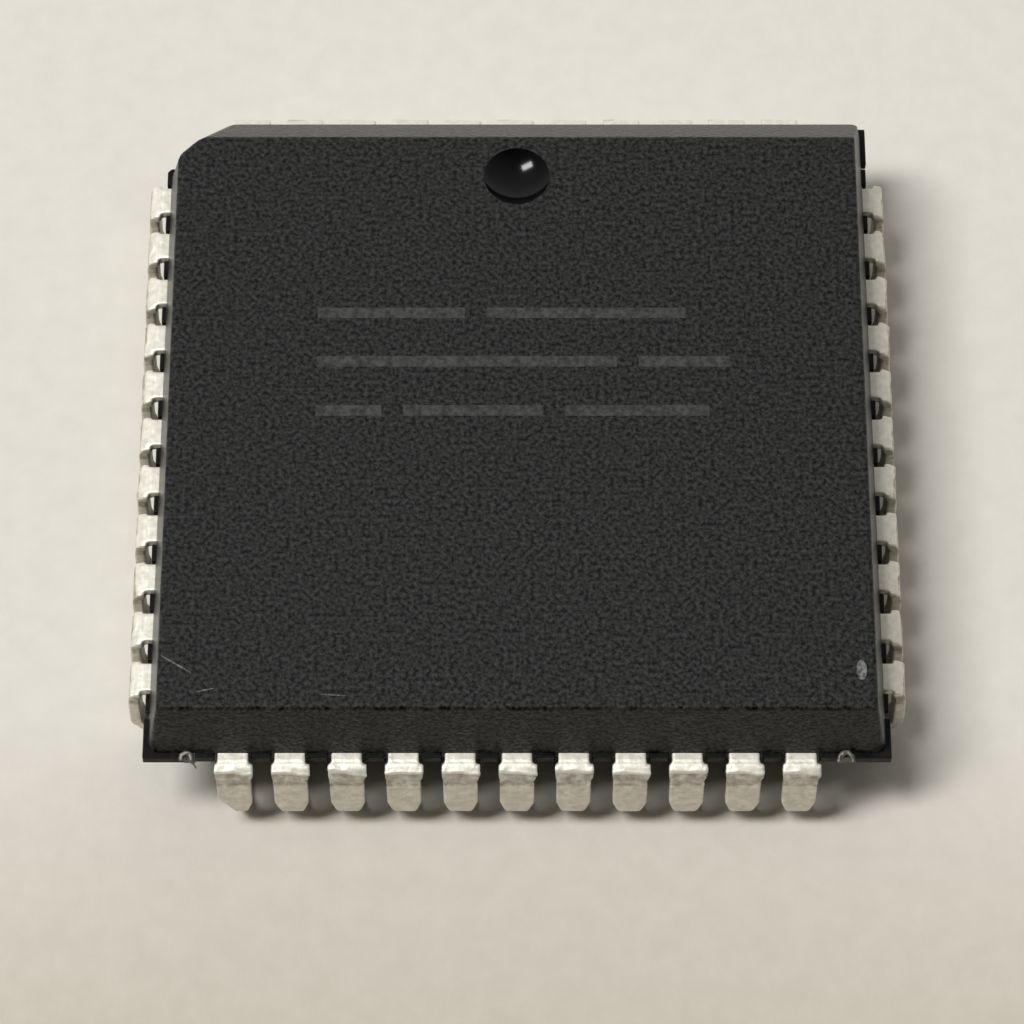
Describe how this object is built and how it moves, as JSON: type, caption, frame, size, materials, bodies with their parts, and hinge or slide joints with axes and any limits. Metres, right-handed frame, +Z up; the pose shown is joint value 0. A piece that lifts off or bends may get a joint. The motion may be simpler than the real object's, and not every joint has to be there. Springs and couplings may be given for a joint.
{
  "type": "plcc chip",
  "caption": "Square moulded chip carrier with J-shaped leads curled under all four sides, a bevelled edge, a cut corner and a round first-pin mark, for a socket or surface soldering.",
  "frame": {"origin": "middle of the package on the seating plane that the leads stand on", "axes": "+Z up out of the marked face, +Y towards the bevelled side that holds the first pin, +X to the right seen from above with that side away"},
  "size_m": [0.0176, 0.0176, 0.0043],
  "materials": {
    "mould_compound": "fine spark-eroded grain, smooth in the first-pin mark and on the flash",
    "solder_plate": "dull tin-lead plate, scuffed by forming and handling",
    "bare_frame": "stamped copper alloy strip",
    "die_adhesive": "cured silver-filled adhesive",
    "silicon": "sawn silicon with a passivated face",
    "bond_gold": "drawn wire"
  },
  "bodies": {
    "root": {"moulded_body": "mould_compound", "die_paddle": "bare_frame", "die_attach": "die_adhesive", "silicon_die": "silicon", "bond_wires": "bond_gold", "lead_01": "solder_plate", "lead_02": "solder_plate", "lead_03": "solder_plate", "lead_04": "solder_plate", "lead_05": "solder_plate", "lead_06": "solder_plate", "lead_07": "solder_plate", "lead_08": "solder_plate", "lead_09": "solder_plate", "lead_10": "solder_plate", "lead_11": "solder_plate", "lead_12": "solder_plate", "lead_13": "solder_plate", "lead_14": "solder_plate", "lead_15": "solder_plate", "lead_16": "solder_plate", "lead_17": "solder_plate", "lead_18": "solder_plate", "lead_19": "solder_plate", "lead_20": "solder_plate", "lead_21": "solder_plate", "lead_22": "solder_plate", "lead_23": "solder_plate", "lead_24": "solder_plate", "lead_25": "solder_plate", "lead_26": "solder_plate", "lead_27": "solder_plate", "lead_28": "solder_plate", "lead_29": "solder_plate", "lead_30": "solder_plate", "lead_31": "solder_plate", "lead_32": "solder_plate", "lead_33": "solder_plate", "lead_34": "solder_plate", "lead_35": "solder_plate", "lead_36": "solder_plate", "lead_37": "solder_plate", "lead_38": "solder_plate", "lead_39": "solder_plate", "lead_40": "solder_plate", "lead_41": "solder_plate", "lead_42": "solder_plate", "lead_43": "solder_plate", "lead_44": "solder_plate"}
  },
  "joints": []
}
